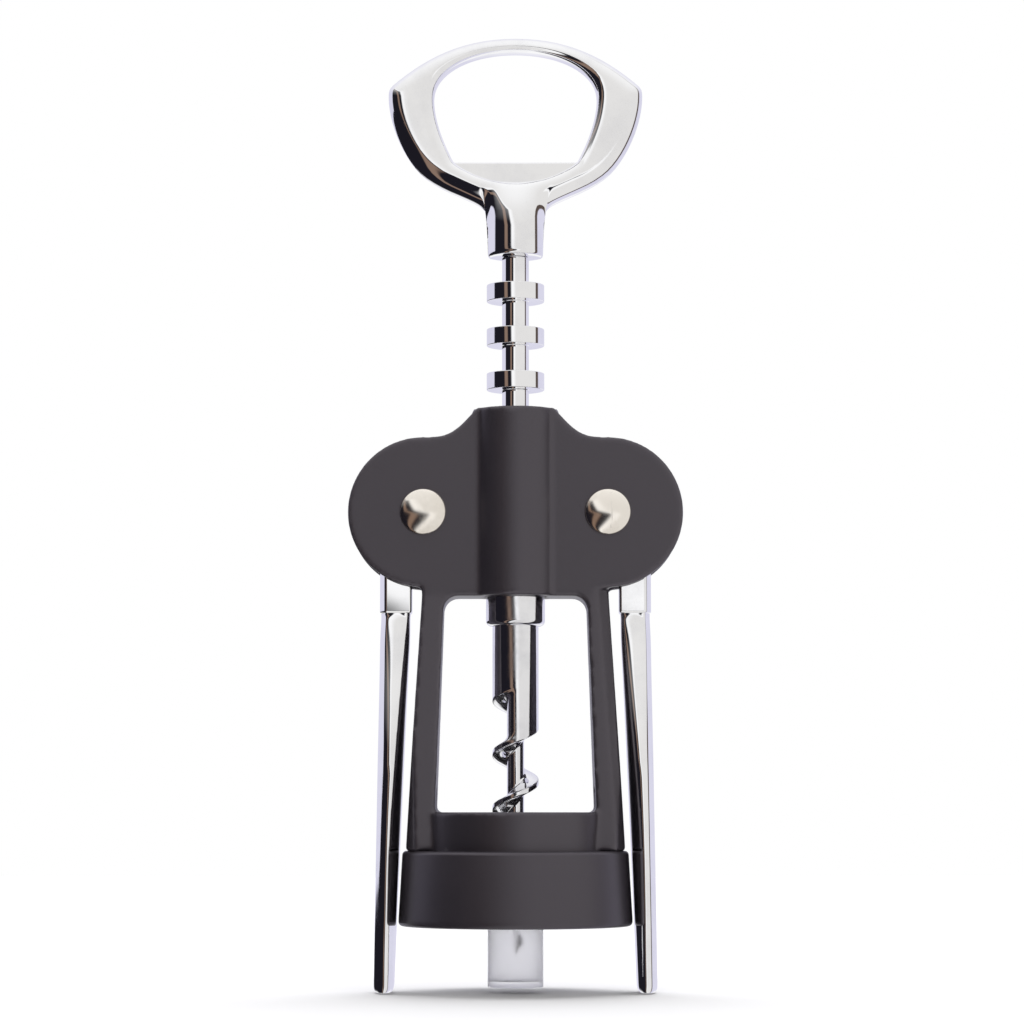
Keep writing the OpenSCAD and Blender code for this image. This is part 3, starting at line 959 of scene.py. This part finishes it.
def armLoop(a, z):
    # the blade's section at height z, from its inner side round the front to its outer side
    start = a["block foot"]
    u = min(1, max(0, (start - z) / (start - leverLow.z)))
    stepIn = a["waist"] * (1 - ease((start - z) / 6))
    inner = mix(a["inner top"], a["inner tip"], u ** 0.85) + stepIn
    thick = mix(a["block"][0], a["thick tip"], u ** 0.7) - 2 * stepIn
    d = mix(a["block"][1] / 2, a["blade half"], ease(u / 0.42)) - 0.9 * ease((u - 0.8) / 0.2) - stepIn
    down = min(1, max(0, (leverLow.z + 1.5 - z) / 1.5))
    close = 1 - 0.35 * (1 - math.sqrt(1 - down * down))
    d *= 0.8 + 0.2 * close
    near, far = (mix(top, tip, ease(u / 0.7)) for top, tip in zip(a["front top"], a["front tip"]))
    fall = a["crown"] * min(1, u / 0.35) ** 0.7
    outer = inner + thick
    ridge = outer - a["facet"] - far
    left, leftY = ridge - near, -d + fall * near
    right, rightY = ridge + far, -d + fall * far
    deep = min(a["facet depth"], -rightY - 0.3)
    front = [
        (inner, 0.0), (inner, -0.32 * d), (inner + 0.12, -0.62 * d), (left - 0.15, leftY + 0.4),
        (left, leftY + 0.04), (ridge - 0.66 * near, -d + 0.44 * fall * near),
        (ridge - 0.33 * near, -d + 0.11 * fall * near), (ridge, -d),
        (ridge + 0.33 * far, -d + 0.11 * fall * far), (ridge + 0.66 * far, -d + 0.44 * fall * far),
        (right - 0.05, rightY), (right + 0.15 * a["facet"], rightY + 0.15 * deep),
        (outer - 0.15 * a["facet"], rightY + 0.85 * deep), (outer, rightY + deep), (outer, 0.0)]
    back = [(x, -y) for x, y in reversed(front[1:-1])]
    middle = inner + thick / 2
    return [(middle + (x - middle) * close, y) for x, y in front + back]


def makeLever(a):
    start = a["block foot"]
    # more sections below the block and at the tip
    heights = [start + 1.2, start + 0.4, start, start - 0.4, start - 1.0]
    heights += [mix(start - 1.8, leverLow.z + 1.5, i / 30) for i in range(31)]
    heights += [leverLow.z + lift for lift in (1.1, 0.7, 0.35, 0.12, 0.02)]
    loops = [armLoop(a, z) for z in heights]
    around = len(loops[0])

    def place(u, v):
        row = round(v * (len(heights) - 1))
        x, y = loops[row][round(u * around) % around]
        return x, y, heights[row]
    blade = rollGrid("blade", around, len(heights) - 1, place)
    modify(blade, "SUBSURF", levels=2, render_levels=2)
    near, half = a["inner top"], a["block"][1] / 2
    far = near + a["block"][0]
    edge = far - a["facet"]
    block = drawLine("block", [(near, -half, start), (edge, -half, start), (far, -0.5, start),
                               (far, 0.5, start), (edge, half, start), (near, half, start)], fill=True)
    editAll(block)
    rise = (a["block top"] - start) * mm
    bpy.ops.mesh.extrude_region_move(TRANSFORM_OT_translate={"value": (0, 0, rise)})
    bpy.ops.object.mode_set(mode="OBJECT")
    closeUp(block)
    roundEdges(block, a["block round"], 4, 40)
    hub = copyOfNode("right_lever", "lever_right")
    editAll(hub)
    bpy.ops.mesh.bisect(plane_co=(0, 0, (a["block top"] - 1) * mm), plane_no=(0, 0, 1), use_fill=True,
                        clear_inner=True)
    bpy.ops.object.mode_set(mode="OBJECT")
    roundEdges(hub, 0.22, 2, 40)
    joinTo(hub, blade, block)
    twin = mirrorCopy(hub, "lever_left")
    finishPiece(hub, "right_lever", "right_arm", "chrome_plate", 42)
    finishPiece(twin, "left_lever", "left_arm", "chrome_plate", 42)


makeLever(arm)


# ---- rivets: a domed head in front, and its cap behind ----

rivet = {"radius": 4.6, "height": 1.5, "edge": 0.35, "dome bend": 1.05, "rim round": 0.12,
         "post": 2.3, "cap depth": 3.5, "clear": 0.02}


def makeRivet(r, name, side, behind):
    start = plateHalf
    dome = [(r["radius"], start), (r["radius"], start + r["edge"])]
    for angle in range(10, 91, 8):
        across, up = math.cos(math.radians(angle)), math.sin(math.radians(angle)) ** r["dome bend"]
        dome.append((r["radius"] * across, start + r["edge"] + (r["height"] - r["edge"]) * up))
    dome.append((0, start + r["height"]))
    if behind:
        pin, foot = r["post"] / 2 - r["clear"], start - r["cap depth"]
        profile = [(0, foot), (pin, foot), (pin, start)] + dome
    else:
        profile = [(0, -start), (r["post"], -start), (r["post"], start)] + dome
    piece = spinProfile(name, profile, 64)
    roundEdges(piece, r["rim round"], 2, 50)
    # lay the rivet down, head to the front or to the back, and carry it to its pivot
    piece.rotation_euler = (math.radians(-90 if behind else 90), 0, 0)
    piece.location = Vector((side * pivotX, 0, pivotZ)) * mm
    node = ("left" if side < 0 else "right") + ("_rivet_cap" if behind else "_rivet")
    finishPiece(piece, node, "frame", "nickel_plate", 40)


for side, word in ((-1, "left"), (1, "right")):
    makeRivet(rivet, word + "_rivet_head", side, False)
    makeRivet(rivet, word + "_rivet_back", side, True)


# ---- the pieces that stay as built: liner, shaft and pins ----

for part in frame["record"]["subparts"]:
    node = nodes[part["node"]]
    if not node.hide_render:
        node.data.materials.clear()
        node.data.materials.append(finishes[part["material_slot"]])
print("plain pieces finished")
